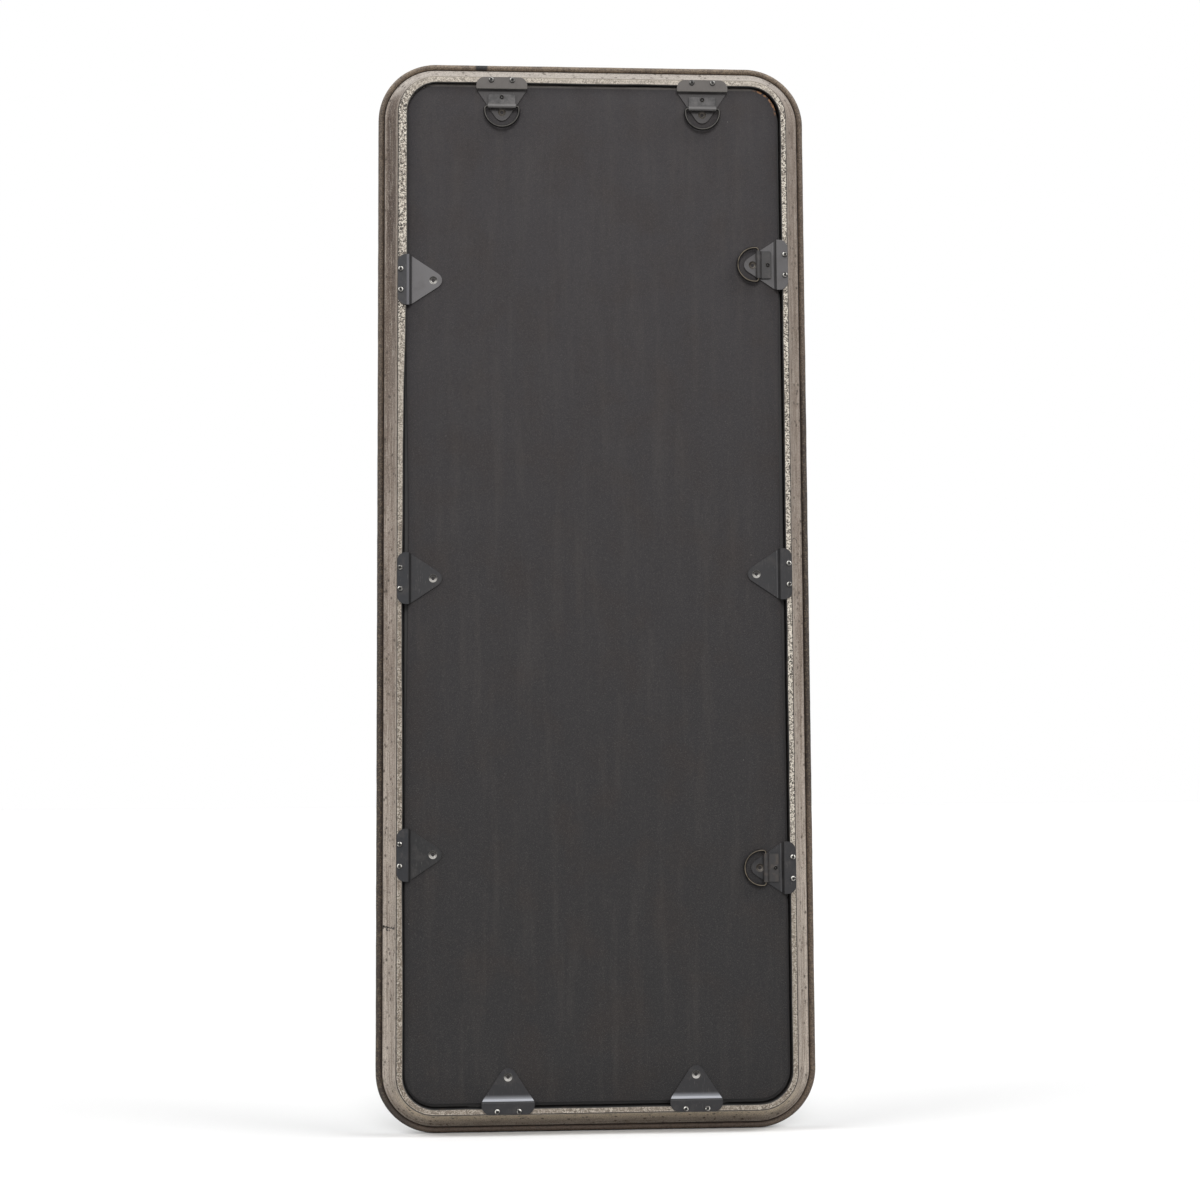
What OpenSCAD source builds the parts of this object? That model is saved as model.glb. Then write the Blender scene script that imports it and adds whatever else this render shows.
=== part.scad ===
// Tall wall mirror in a cast metal frame with rounded corners.
// The mirror stands upright: X is its width, Z its height, the glass faces -Y,
// and the plane Y = 0 is the wall that the heads of the frame screws touch.
// Left and right are as seen from behind, so left is +X.

/* [Frame] */
// Overall width
body_w = 618; // [560:2:700]
// Overall height
body_h = 1524; // [1400:2:1700]
// Depth of the casting, from its front edge to the ledge at the back
frame_d = 42; // [38:1:54]
// Radius of the outer corners
corner_r = 84; // [70:1:120]
// Diameter of the rounded lip along the outer edge
lip_d = 9.2; // [7:0.2:12]
// Width of the cove between the lip and the ledge
cove_w = 20.8; // [17:0.1:26]
// Radius of the cove
cove_r = 52; // [44:1:90]
// Radius of the dished front
scoop_r = 70; // [60:1:120]
// Width of the flat ledge at the back that carries the clips
ledge_w = 8.5; // [7:0.1:12]
// Chamfer along both edges of the ledge
ledge_chamfer = 0.8; // [0.3:0.1:1.2]
// Height of the fine step between the cove and the ledge
arris_h = 1.2; // [1:0.1:2]
// Width of that step
arris_w = 1; // [0.5:0.1:1.5]
// How far the frame covers the edge of the rebate at the front
sight_lap = 7.2; // [6:0.1:10]
// Diameter of the bead round the sight opening
sight_d = 5.2; // [4:0.1:6]

/* [Glass and backing] */
// Thickness of the mirror glass
glass_t = 4; // [3:0.5:6]
// Space between the edge of the glass and the rebate wall
glass_gap = 1.6; // [1:0.1:2.4]
// Thickness of the glazing tape under the glass
tape_t = 1; // [0.5:0.1:2]
// Width of the glazing tape
tape_w = 3.6; // [2.5:0.1:4]
// Thickness of the foam sheet behind the glass
foam_t = 3; // [2:0.5:5]
// Space between the edge of the foam sheet and the rebate wall
foam_gap = 12; // [6:1:40]
// Thickness of the backing board
board_t = 5; // [4:0.5:8]
// Space between the edge of the board and the rebate wall
board_gap = 3.4; // [2:0.1:5]
// How far the board sits to the left of the middle
board_off_x = 0.9; // [-1:0.1:1]
// How far the board sits above the middle
board_off_z = 0.7; // [-1:0.1:1]
// How deep the board lies under the ledge
board_recess = 5; // [3:0.5:8]
// Length of a setting block under the glass
block_l = 60; // [30:5:100]
// Distance of each setting block from the middle
block_x = 150; // [80:5:180]

/* [Clips] */
// Width of a clip along the frame
clip_w = 73; // [60:1:90]
// Thickness of the clip sheet
clip_t = 1.8; // [1.2:0.1:3]
// How far the flange reaches inward past the ledge
flange_reach = 8; // [7:0.5:12]
// Length of the slanted step between flange and tab
ramp_l = 3; // [2:0.5:5]
// Length of the tab on the board, from the step to the tip
tab_l = 43; // [40:1:60]
// Radius of the flange's outer corners
flange_r = 12; // [6:1:14]
// Radius of the tab's tip
tip_r = 11; // [8:0.5:14]
// Distance from the tip to the board screw
tip_screw_in = 12.4; // [10:0.1:14]

/* [Clip places] */
// Distance of the upper clip on the left from the top of the frame
left_upper_in = 326; // [280:1:400]
// Height of the middle clip on the left, from the middle of the frame
left_middle_z = 10; // [-60:1:60]
// Distance of the lower clip on the left from the bottom of the frame
left_lower_in = 386; // [280:1:400]
// Distance of the upper hanger on the right from the top of the frame
right_upper_in = 300; // [280:1:400]
// Height of the middle clip on the right, from the middle of the frame
right_middle_z = 16; // [-60:1:60]
// Distance of the lower hanger on the right from the bottom of the frame
right_lower_in = 364; // [280:1:400]
// Distance of the left hanger at the top from the left side of the frame
top_left_in = 178; // [160:1:200]
// Distance of the right hanger at the top from the right side of the frame
top_right_in = 151; // [145:1:200]
// Distance of the left clip at the bottom from the left side of the frame
bottom_left_in = 184; // [160:1:200]
// Distance of the right clip at the bottom from the right side of the frame
bottom_right_in = 173; // [160:1:200]

/* [Screws and rivets] */
// Distance between the two screws of a flange
screw_pitch = 30; // [24:1:40]
// Diameter of the frame screws
screw_d = 4; // [3:0.1:4.4]
// Diameter of the pan head
head_d = 8; // [7:0.1:8.4]
// Height of the pan head
head_h = 2.8; // [2:0.1:3.4]
// Height of the pan head's straight rim
head_rim = 1; // [0.6:0.1:1.4]
// Length of the frame screws under the head
screw_l = 12; // [9:0.5:16]
// Length of the point of a frame screw
screw_point = 2; // [1:0.5:3]
// Diameter of the board screws
board_screw_d = 3.4; // [2.5:0.1:4]
// Diameter of the countersunk hole in a clip's tip
sunk_d = 11.2; // [8:0.1:12]
// How deep a countersunk head lies in its hole
sunk_in = 0.7; // [0.4:0.1:0.9]
// Length of a cross slot in a countersunk head
sunk_slot_l = 3.2; // [2.4:0.1:3.2]
// Depth of a cross slot in a countersunk head
sunk_slot_h = 0.9; // [0.5:0.1:1]
// What is left of the board under a board screw
board_skin = 1; // [0.6:0.1:2]
// Length of a cross slot in a pan head
slot_l = 4.4; // [3:0.1:5]
// Width of a cross slot
slot_w = 1; // [0.6:0.1:1.4]
// Depth of a cross slot in a pan head
slot_h = 1.2; // [0.8:0.1:1.5]
// Diameter of the rivets
rivet_d = 4; // [3:0.1:5]
// Diameter of the rivet head
rivet_head_d = 6.6; // [6:0.1:8]
// Height of the rivet head
rivet_head_h = 0.9; // [0.6:0.1:1.2]
// Bore of the hollow rivets
rivet_bore = 2.2; // [1.4:0.1:2.4]
// Space round a screw or rivet in its hole
hole_fit = 0.1; // [0.05:0.05:0.2]

/* [Hangers] */
// Diameter of the ring wire
wire_d = 4; // [3:0.1:4.4]
// Width of a ring over its legs
ring_w = 53; // [50:1:60]
// Length of a ring's legs, from the bar to the bow
ring_leg = 5; // [4.5:0.5:8]
// Radius of the bends beside the bar
ring_bend_r = 3.6; // [3:0.1:4]
// Space round the bar in its strap
ring_fit = 0.08; // [0.05:0.01:0.1]
// Width of the strap
strap_w = 40; // [30:1:40]
// Thickness of the strap sheet, which lies double
strap_t = 1.2; // [0.8:0.1:1.5]
// Space between the end of the strap and the clip's step
strap_in = 4; // [2:0.5:6]
// Radius of the strap's corners
strap_r = 3; // [1:0.5:5]
// Distance from the clip's step to the ring's bar
bar_in = 23; // [21:0.5:24]
// Distance from the clip's step to the rivet
rivet_in = 9; // [8:0.5:12]
// Space between the rolled strap and the clip
roll_gap = 0.15; // [0.1:0.05:0.3]

/* [Hidden] */
eps = 0.01;

// Levels, as distances from the wall
ledge_z = clip_t + head_h;
board_back_z = ledge_z + board_recess;
board_front_z = board_back_z + board_t;
glass_back_z = board_front_z + foam_t;
glass_front_z = glass_back_z + glass_t;
seat_z = glass_front_z + tape_t;
front_z = ledge_z + frame_d;

// Distances inward from the outer edge of the frame
ledge_s = lip_d + cove_w;
rebate_s = ledge_s + ledge_w;
sight_s = rebate_s + sight_lap;

// Insides of the frame
rebate_w = body_w - 2 * rebate_s;
rebate_h = body_h - 2 * rebate_s;
rebate_r = corner_r - rebate_s;
ledge_x = body_w / 2 - ledge_s;
ledge_y = body_h / 2 - ledge_s;

// Distances inward from the outer edge of a clip
screw_u = ledge_w / 2;
flange_l = ledge_w + flange_reach;
tab_u = flange_l + ramp_l;
tip_u = tab_u + tab_l;
tip_screw_u = tip_u - tip_screw_in;
bar_u = tab_u + bar_in;
rivet_u = tab_u + rivet_in;

// The clip's tab, and what lies on it
tab_top_z = board_back_z - clip_t;
strap_top_z = tab_top_z - 2 * strap_t;
bore_r = wire_d / 2 + ring_fit;
roll_r = bore_r + strap_t;
bar_z = tab_top_z - roll_gap - roll_r;

// How fast a countersunk hole narrows with its depth
sunk_slope = (sunk_d - board_screw_d) / 2 / clip_t;

// Clip places: direction of the tab in degrees, then x and y of the clip's outer edge
left_upper = [180, ledge_x, body_h / 2 - left_upper_in];
left_middle = [180, ledge_x, left_middle_z];
left_lower = [180, ledge_x, left_lower_in - body_h / 2];
right_upper = [0, -ledge_x, body_h / 2 - right_upper_in];
right_middle = [0, -ledge_x, right_middle_z];
right_lower = [0, -ledge_x, right_lower_in - body_h / 2];
top_left = [-90, body_w / 2 - top_left_in, ledge_y];
top_right = [-90, top_right_in - body_w / 2, ledge_y];
bottom_left = [90, body_w / 2 - bottom_left_in, -ledge_y];
bottom_right = [90, bottom_right_in - body_w / 2, -ledge_y];
hangers = [top_left, top_right, right_upper, right_lower];
clips = [left_upper, left_middle, left_lower, right_middle, bottom_left, bottom_right];
all_clips = concat(clips, hangers);

// Points along an arc, from angle a to angle b
function arc(c, r, a, b, n = 12) =
    [for (i = [0:n]) c + r * [cos(a + (b - a) * i / n), sin(a + (b - a) * i / n)]];

// Centre of the circle of radius r through p and q, on the left of the way from p to q
function centre(p, q, r) =
    let (d = q - p, l = norm(d), h = sqrt(max(0, r * r - l * l / 4)))
    (p + q) / 2 + h * [-d[1], d[0]] / l;

// Everything is drawn lying on its back on the wall, then stood up
module upright() rotate([90, 0, 0]) children();

// Puts a piece drawn along +X on a clip's place
module on(place) translate([place[1], place[2], 0]) rotate([0, 0, place[0]]) children();

// A flat rounded rectangle, from quarter discs and squares that meet edge to edge
module round_rect(w, h, r) {
    square([w - 2 * r, h], center = true);
    for (side = [-1, 1])
        translate([side * (w - r) / 2, 0])
            square([r, h - 2 * r], center = true);
    for (i = [0:3], sx = i % 2 * 2 - 1, sy = floor(i / 2) * 2 - 1)
        translate([sx * (w / 2 - r), sy * (h / 2 - r)])
            intersection() {
                circle(r, $fn = 96);
                translate([sx * r / 2, sy * r / 2])
                    square(r, center = true);
            }
}

// Section of the frame: x is the distance outward from the centre of a corner
module frame_section() {
    lip_r = lip_d / 2;
    sight_c = [corner_r - sight_s + sight_d / 2, seat_z + 0.2 + sight_d / 2];
    // The cove runs from the groove beside the lip to the step beside the ledge
    groove = [corner_r - lip_d + 0.6, front_z - 1.5 * lip_r];
    arris = [corner_r - ledge_s + arris_w, ledge_z + arris_h];
    // The dish runs from beside the lip into the sight bead
    dish_out = [corner_r - lip_d - 0.6, front_z - 2.6];
    dish_in = sight_c + [0, 1];
    translate([corner_r - lip_r, front_z - lip_r])
        circle(lip_r, $fn = 48);
    translate(sight_c)
        circle(sight_d / 2, $fn = 40);
    difference() {
        polygon([
            [corner_r - lip_r, dish_out[1]],
            [sight_c[0], dish_out[1]],
            [sight_c[0], seat_z],
            [corner_r - rebate_s, seat_z],
            [corner_r - rebate_s, ledge_z + ledge_chamfer],
            [corner_r - rebate_s + ledge_chamfer, ledge_z],
            [corner_r - ledge_s - ledge_chamfer, ledge_z],
            [corner_r - ledge_s, ledge_z + ledge_chamfer],
            [corner_r - ledge_s, arris[1]],
            [corner_r - lip_r, arris[1]]
        ]);
        translate(centre(groove, arris, cove_r))
            circle(cove_r, $fn = 240);
        translate(centre(dish_in, dish_out, scoop_r))
            circle(scoop_r, $fn = 280);
    }
}

// One straight side of the frame, l long, its outer edge along x = out
module frame_bar(out, l)
    translate([out - corner_r, 0, 0])
        rotate([90, 0, 0])
            linear_extrude(l, center = true)
                frame_section();

module frame() color([0.60, 0.57, 0.53]) upright() difference() {
    union() {
        for (a = [0, 180]) {
            rotate([0, 0, a])
                frame_bar(body_w / 2, body_h - 2 * corner_r);
            rotate([0, 0, a + 90])
                frame_bar(body_h / 2, body_w - 2 * corner_r);
        }
        for (i = [0:3], sx = i == 0 || i == 3 ? 1 : -1, sy = i < 2 ? 1 : -1)
            translate([sx * (body_w / 2 - corner_r), sy * (body_h / 2 - corner_r), 0])
                rotate([0, 0, 90 * i])
                    rotate_extrude(angle = 90, $fn = 128)
                        frame_section();
    }
    for (place = all_clips, side = [-1, 1])
        on(place)
            translate([screw_u, side * screw_pitch / 2, ledge_z - 1])
                cylinder(h = screw_l - clip_t + 2, d = screw_d + 2 * hole_fit, $fn = 32);
}

module mirror_glass() color([0.80, 0.84, 0.86]) upright()
    translate([0, 0, glass_back_z])
        linear_extrude(glass_t)
            round_rect(rebate_w - 2 * glass_gap, rebate_h - 2 * glass_gap, rebate_r - glass_gap);

// Tape on the land that the frame's rebate gives the glass
module glazing_tape() color([0.16, 0.16, 0.16]) upright()
    translate([0, 0, glass_front_z])
        linear_extrude(tape_t)
            difference() {
                round_rect(rebate_w - 1, rebate_h - 1, rebate_r - 0.5);
                round_rect(rebate_w - 1 - 2 * tape_w, rebate_h - 1 - 2 * tape_w, rebate_r - 0.5 - tape_w);
            }

// Blocks under the lower edge of the glass, as thick as the gap there
module setting_blocks() color([0.12, 0.12, 0.12]) upright()
    for (side = [-1, 1])
        translate([side * block_x - block_l / 2, -rebate_h / 2, glass_back_z])
            cube([block_l, glass_gap, glass_t]);

module foam_sheet() color([0.86, 0.86, 0.84]) upright()
    translate([0, 0, board_front_z])
        linear_extrude(foam_t)
            round_rect(rebate_w - 2 * foam_gap, rebate_h - 2 * foam_gap, rebate_r - foam_gap);

module backing_board() color([0.24, 0.235, 0.24]) upright() difference() {
    translate([board_off_x, board_off_z, board_back_z])
        linear_extrude(board_t)
            round_rect(rebate_w - 2 * board_gap, rebate_h - 2 * board_gap, rebate_r - board_gap);
    for (place = all_clips)
        on(place)
            translate([tip_screw_u, 0, board_back_z - 1])
                cylinder(h = board_t - board_skin + 1.2, d = board_screw_d + 2 * hole_fit, $fn = 32);
}

// Plan of a clip: a flange with round outer corners and a tapered tab with a round tip
module clip_plan() {
    half = clip_w / 2;
    tip_c = [tip_u - tip_r, 0];
    shoulder = [flange_l, half];
    // Angle at which the straight side of the tab meets the round tip
    away = shoulder - tip_c;
    touch = atan2(away[1], away[0]) - acos(tip_r / norm(away));
    polygon(concat(
        arc([flange_r, half - flange_r], flange_r, 180, 90),
        [shoulder],
        arc(tip_c, tip_r, touch, -touch, 20),
        [[flange_l, -half]],
        arc([flange_r, -half + flange_r], flange_r, 270, 180)
    ));
}

// A clip bent from sheet: the flange lies on the ledge, the tab on the board
module clip_sheet() {
    slope = atan2(board_recess, ramp_l);
    lead = clip_t * tan(slope / 2);
    difference() {
        intersection() {
            linear_extrude(board_back_z + 1)
                clip_plan();
            rotate([90, 0, 0])
                linear_extrude(clip_w + 2, center = true)
                    polygon([
                        [-1, ledge_z],
                        [flange_l, ledge_z],
                        [tab_u, board_back_z],
                        [tip_u + 1, board_back_z],
                        [tip_u + 1, tab_top_z],
                        [tab_u + lead, tab_top_z],
                        [flange_l + lead, ledge_z - clip_t],
                        [-1, ledge_z - clip_t]
                    ]);
        }
        for (side = [-1, 1])
            translate([screw_u, side * screw_pitch / 2, 0])
                cylinder(h = board_back_z, d = screw_d + 2 * hole_fit, $fn = 32);
        translate([tip_screw_u, 0, tab_top_z - eps])
            cylinder(
                h = clip_t + 2 * eps,
                r1 = sunk_d / 2 + hole_fit + eps * sunk_slope,
                r2 = board_screw_d / 2 + hole_fit - eps * sunk_slope,
                $fn = 40
            );
        translate([tip_screw_u, 0, ledge_z])
            cylinder(h = board_recess + 1, d = board_screw_d + 2 * hole_fit, $fn = 32);
    }
}

module clip(place) color([0.20, 0.20, 0.21]) upright() on(place) clip_sheet();

// A clip with a hole for the rivet that holds its strap
module hanger_plate(place) color([0.20, 0.20, 0.21]) upright() on(place) difference() {
    clip_sheet();
    translate([rivet_u, 0, tab_top_z - 1])
        cylinder(h = clip_t + 2, d = rivet_d + 2 * hole_fit, $fn = 32);
}

// A strap folded double round the bar of the ring
module ring_strap(place) color([0.24, 0.24, 0.24]) upright() on(place) difference() {
    union() {
        translate([0, 0, strap_top_z])
            linear_extrude(2 * strap_t)
                polygon(concat(
                    arc([tab_u + strap_in + strap_r, strap_w / 2 - strap_r], strap_r, 180, 90, 8),
                    [[bar_u, strap_w / 2], [bar_u, -strap_w / 2]],
                    arc([tab_u + strap_in + strap_r, -strap_w / 2 + strap_r], strap_r, 270, 180, 8)
                ));
        translate([bar_u, 0, bar_z])
            rotate([90, 0, 0])
                cylinder(h = strap_w, r = roll_r, center = true, $fn = 48);
    }
    translate([bar_u, 0, bar_z])
        rotate([90, 0, 0])
            cylinder(h = strap_w + 2, r = bore_r, center = true, $fn = 48);
    translate([rivet_u, 0, strap_top_z - 1])
        cylinder(h = 2 * strap_t + 2, d = rivet_d + 2 * hole_fit, $fn = 32);
}

// A ring of round wire: a straight bar, two bends, two legs and a half-round bow
module d_ring(place) color([0.30, 0.29, 0.28]) upright() on(place) translate([bar_u, 0, bar_z]) {
    leg_y = (ring_w - wire_d) / 2;
    bar_half = leg_y - ring_bend_r;
    rotate([90, 0, 0])
        cylinder(h = 2 * bar_half, d = wire_d, center = true, $fn = 32);
    for (side = [0, 1])
        mirror([0, side, 0]) {
            translate([ring_bend_r, bar_half, 0])
                rotate([0, 0, 90])
                    rotate_extrude(angle = 90, $fn = 64)
                        translate([ring_bend_r, 0])
                            circle(d = wire_d, $fn = 32);
            translate([ring_bend_r, leg_y, 0])
                rotate([0, 90, 0])
                    cylinder(h = ring_leg - ring_bend_r, d = wire_d, $fn = 32);
        }
    translate([ring_leg, 0, 0])
        rotate([0, 0, -90])
            rotate_extrude(angle = 180, $fn = 96)
                translate([leg_y, 0])
                    circle(d = wire_d, $fn = 32);
}

// Hollow rivets through strap and tab
module strap_rivets() color([0.55, 0.54, 0.52]) upright()
    for (place = hangers)
        on(place)
            translate([rivet_u, 0, 0])
                difference() {
                    union() {
                        translate([0, 0, strap_top_z - rivet_head_h])
                            cylinder(h = rivet_head_h, d1 = rivet_head_d - 0.8, d2 = rivet_head_d, $fn = 40);
                        translate([0, 0, strap_top_z - eps])
                            cylinder(h = board_back_z - strap_top_z + eps, d = rivet_d, $fn = 32);
                    }
                    translate([0, 0, strap_top_z - rivet_head_h - 1])
                        cylinder(h = board_back_z - strap_top_z + rivet_head_h + 2, d = rivet_bore, $fn = 24);
                }

// The cross slots of a screw head whose top is at z = 0 and faces down
module cross_slots(l, h, turn)
    for (a = [0, 90])
        rotate([0, 0, turn + a])
            translate([-l / 2, -slot_w / 2, -1])
                cube([l, slot_w, h + 1]);

// Screws with pan heads, two through each flange into the ledge
module frame_screws() color([0.78, 0.77, 0.74]) upright() {
    cap_r = (pow(head_d / 2, 2) + pow(head_h - head_rim, 2)) / 2 / (head_h - head_rim);
    for (i = [0:len(all_clips) - 1], side = [-1, 1])
        on(all_clips[i])
            translate([screw_u, side * screw_pitch / 2, 0])
                difference() {
                    union() {
                        rotate_extrude($fn = 40)
                            intersection() {
                                translate([0, cap_r])
                                    circle(cap_r, $fn = 120);
                                square([head_d / 2, head_h]);
                            }
                        translate([0, 0, head_h - eps])
                            cylinder(h = screw_l - screw_point + eps, d = screw_d, $fn = 32);
                        translate([0, 0, head_h + screw_l - screw_point - eps])
                            cylinder(h = screw_point + eps, d1 = screw_d, d2 = screw_d / 4, $fn = 32);
                    }
                    cross_slots(slot_l, slot_h, 37 * i + 55 * side);
                }
}

// Countersunk screws through the tips into the board
module board_screws() color([0.78, 0.77, 0.74]) upright() {
    sunk_h = clip_t - sunk_in;
    for (i = [0:len(all_clips) - 1])
        on(all_clips[i])
            translate([tip_screw_u, 0, tab_top_z + sunk_in])
                difference() {
                    union() {
                        cylinder(
                            h = sunk_h,
                            r1 = board_screw_d / 2 + sunk_h * sunk_slope,
                            r2 = board_screw_d / 2,
                            $fn = 40
                        );
                        translate([0, 0, sunk_h - eps])
                            cylinder(h = board_t - board_skin + eps, d = board_screw_d, $fn = 32);
                    }
                    cross_slots(sunk_slot_l, sunk_slot_h, 53 * i);
                }
}

frame();
mirror_glass();
glazing_tape();
setting_blocks();
foam_sheet();
backing_board();
clip(left_upper);  // clip_left_upper
clip(left_middle);  // clip_left_middle
clip(left_lower);  // clip_left_lower
clip(right_middle);  // clip_right_middle
clip(bottom_left);  // clip_bottom_left
clip(bottom_right);  // clip_bottom_right
hanger_plate(top_left);  // hanger_plate_top_left
hanger_plate(top_right);  // hanger_plate_top_right
hanger_plate(right_upper);  // hanger_plate_right_upper
hanger_plate(right_lower);  // hanger_plate_right_lower
ring_strap(top_left);  // ring_strap_top_left
ring_strap(top_right);  // ring_strap_top_right
ring_strap(right_upper);  // ring_strap_right_upper
ring_strap(right_lower);  // ring_strap_right_lower
d_ring(top_left);  // d_ring_top_left
d_ring(top_right);  // d_ring_top_right
d_ring(right_upper);  // d_ring_right_upper
d_ring(right_lower);  // d_ring_right_lower
strap_rivets();
frame_screws();
board_screws();
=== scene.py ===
"""Tall wall mirror with rounded corners in a cast metal frame, seen from behind in a plain studio."""

import math
import random

import bmesh
import bpy
from mathutils import Matrix, Vector


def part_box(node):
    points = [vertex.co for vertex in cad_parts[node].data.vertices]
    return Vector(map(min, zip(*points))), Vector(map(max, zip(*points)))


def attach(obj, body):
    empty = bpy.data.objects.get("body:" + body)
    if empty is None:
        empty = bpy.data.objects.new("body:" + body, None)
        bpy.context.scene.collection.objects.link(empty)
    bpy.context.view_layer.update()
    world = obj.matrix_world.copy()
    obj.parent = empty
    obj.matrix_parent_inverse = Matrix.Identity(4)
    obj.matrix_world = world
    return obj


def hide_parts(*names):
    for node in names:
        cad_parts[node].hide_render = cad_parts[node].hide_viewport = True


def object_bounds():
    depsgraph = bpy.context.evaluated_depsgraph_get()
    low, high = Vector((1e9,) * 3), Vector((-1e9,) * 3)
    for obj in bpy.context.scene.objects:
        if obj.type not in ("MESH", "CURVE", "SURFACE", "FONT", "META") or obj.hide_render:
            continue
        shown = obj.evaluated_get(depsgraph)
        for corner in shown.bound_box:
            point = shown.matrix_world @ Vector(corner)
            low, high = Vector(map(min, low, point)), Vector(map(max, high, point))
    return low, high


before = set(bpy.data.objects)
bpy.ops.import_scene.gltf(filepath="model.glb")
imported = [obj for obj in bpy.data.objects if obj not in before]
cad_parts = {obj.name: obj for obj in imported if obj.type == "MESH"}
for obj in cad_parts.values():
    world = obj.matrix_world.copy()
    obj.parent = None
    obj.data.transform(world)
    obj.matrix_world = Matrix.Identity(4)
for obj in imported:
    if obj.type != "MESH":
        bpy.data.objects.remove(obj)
cad_low, cad_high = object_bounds()
MM = 0.001


# The camera stands behind the mirror, a little left of its middle and below it, and looks slightly up.
# Its place and its turns were fitted to the outline, the clips and the rings in the photograph.
picture_side = 1200
focal_length = 2000
sensor_width = 36
camera_place = Vector((0.168, 2.801, -0.249))
camera_yaw, camera_pitch, camera_roll = -0.0619, -0.0809, -0.0059

camera_data = bpy.data.cameras.new("camera")
camera_data.sensor_width = sensor_width
camera_data.lens = focal_length / picture_side * sensor_width
camera = bpy.data.objects.new("camera", camera_data)
bpy.context.scene.collection.objects.link(camera)
camera.matrix_world = (
    Matrix.Translation(camera_place)
    @ Matrix.Rotation(camera_yaw, 4, "Z")
    @ Matrix.Rotation(camera_pitch, 4, "X")
    @ Matrix.Rotation(math.pi, 4, "Z")
    @ Matrix.Rotation(math.pi / 2, 4, "X")
    @ Matrix.Rotation(camera_roll, 4, "Z")
)
bpy.context.scene.camera = camera
bpy.context.scene.view_settings.view_transform = "Standard"


# The studio is a white room with a pale floor, on which the lower edge of the frame stands. Two high
# lamps light the mirror from its sides, a lower one from behind it and a faint one from its front.
# Camera, glossy and transmitted rays see plain white, and the floor keeps the mirror's shadow.
class Wire:
    """A socket of a shader tree, so that sums on sockets can be written out."""

    def __init__(self, tree, socket=None):
        self.tree = tree
        self.socket = socket

    def node(self, kind, settings=None, inputs=None, output=0):
        """Adds a node with these settings, then these values or links of its inputs."""
        made = self.tree.nodes.new(kind)
        for name, value in (settings or {}).items():
            if name == "stops":
                stops = made.color_ramp.elements
                stops[0].position, stops[0].color = value[0]
                stops[1].position, stops[1].color = value[-1]
                for place, colour in value[1:-1]:
                    stops.new(place).color = colour
            else:
                setattr(made, name, value)
        for name, value in (inputs or {}).items():
            if isinstance(value, Wire):
                self.tree.links.new(value.socket, made.inputs[name])
            else:
                made.inputs[name].default_value = value
        return Wire(self.tree, made.outputs[output] if made.outputs else None)

    def axis(self, name):
        """The X, Y or Z of a vector."""
        return self.node("ShaderNodeSeparateXYZ", {}, {"Vector": self}, output=name)

    def __add__(self, other):
        return self.node("ShaderNodeMath", {"operation": "ADD"}, {0: self, 1: other})

    def __rsub__(self, other):
        return self.node("ShaderNodeMath", {"operation": "SUBTRACT"}, {0: other, 1: self})

    def __mul__(self, other):
        return self.node("ShaderNodeMath", {"operation": "MULTIPLY"}, {0: self, 1: other})

    __radd__ = __add__


def new_material(name):
    """A material with an empty shader tree, and the tree as a wire to hang nodes on."""
    material = bpy.data.materials.new(name)
    material.use_nodes = True
    material.node_tree.nodes.clear()
    return material, Wire(material.node_tree)


def paint(red, green, blue):
    """The linear colour that shows as these 0 to 255 values on a screen."""
    channels = [c / 255 for c in (red, green, blue)]
    return (*(c / 12.92 if c <= 0.04045 else ((c + 0.055) / 1.055) ** 2.4 for c in channels), 1.0)


def rise(value, start, end):
    """Goes smoothly from 0 where the value is start to 1 where it is end, also where end is the smaller."""
    ends = {"Value": value, "From Min": start, "From Max": end}
    return value.node("ShaderNodeMapRange", {"interpolation_type": "SMOOTHSTEP"}, ends)


def seen_rays(tree):
    """1 for rays that show the room itself: from the camera, off a glossy face or through glass."""
    kinds = ("Camera", "Glossy", "Transmission")
    seen, glossy, through = [tree.node("ShaderNodeLightPath", output=f"Is {kind} Ray") for kind in kinds]
    return rise(seen + glossy + through, 0, 1)


white = paint(255, 255, 255)
ambient_front, ambient_rear = 0.32, 0.18
floor_side = 40
floor_colour = paint(236, 236, 236)
floor_under = paint(120, 118, 116)
floor_glow = 0.03

world = bpy.data.worlds.new("white_room")
bpy.context.scene.world = world
world.use_nodes = True
world.node_tree.nodes.clear()
room = Wire(world.node_tree)
towards = room.node("ShaderNodeTexCoord", output="Generated")
depth = towards.axis("Y")
ambient = rise(depth, -0.3, 0.3) * (ambient_front - ambient_rear) + ambient_rear
strength = seen_rays(room) * (1 - ambient) + ambient
backdrop = room.node("ShaderNodeBackground", {}, {"Color": white, "Strength": strength})
room.node("ShaderNodeOutputWorld", {}, {"Surface": backdrop})

bpy.ops.mesh.primitive_plane_add(size=floor_side, location=(0, 0, cad_low.z))
floor = bpy.context.object
floor.name = "studio_floor"
floor_paint, ground = new_material("studio_floor")
matt = ground.node("ShaderNodeBsdfDiffuse", {}, {"Color": floor_colour})
dull = ground.node("ShaderNodeBsdfDiffuse", {}, {"Color": floor_under})
glow = ground.node("ShaderNodeEmission", {}, {"Color": white, "Strength": floor_glow})
bright = ground.node("ShaderNodeAddShader", {}, {0: matt, 1: glow})
shown = ground.node("ShaderNodeMixShader", {}, {0: seen_rays(ground), 1: dull, 2: bright})
ground.node("ShaderNodeOutputMaterial", {}, {"Surface": shown})
floor.data.materials.append(floor_paint)

# Name, strength, angular size, direction round the mirror from its back towards its left, height
lamps = [
    ("key", 1.5, 34, 74, 50),
    ("front", 1.2, 30, -2, 34),
    ("fill", 1.6, 34, -76, 48),
    ("rear", 1.1, 30, 172, 12),
]
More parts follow.
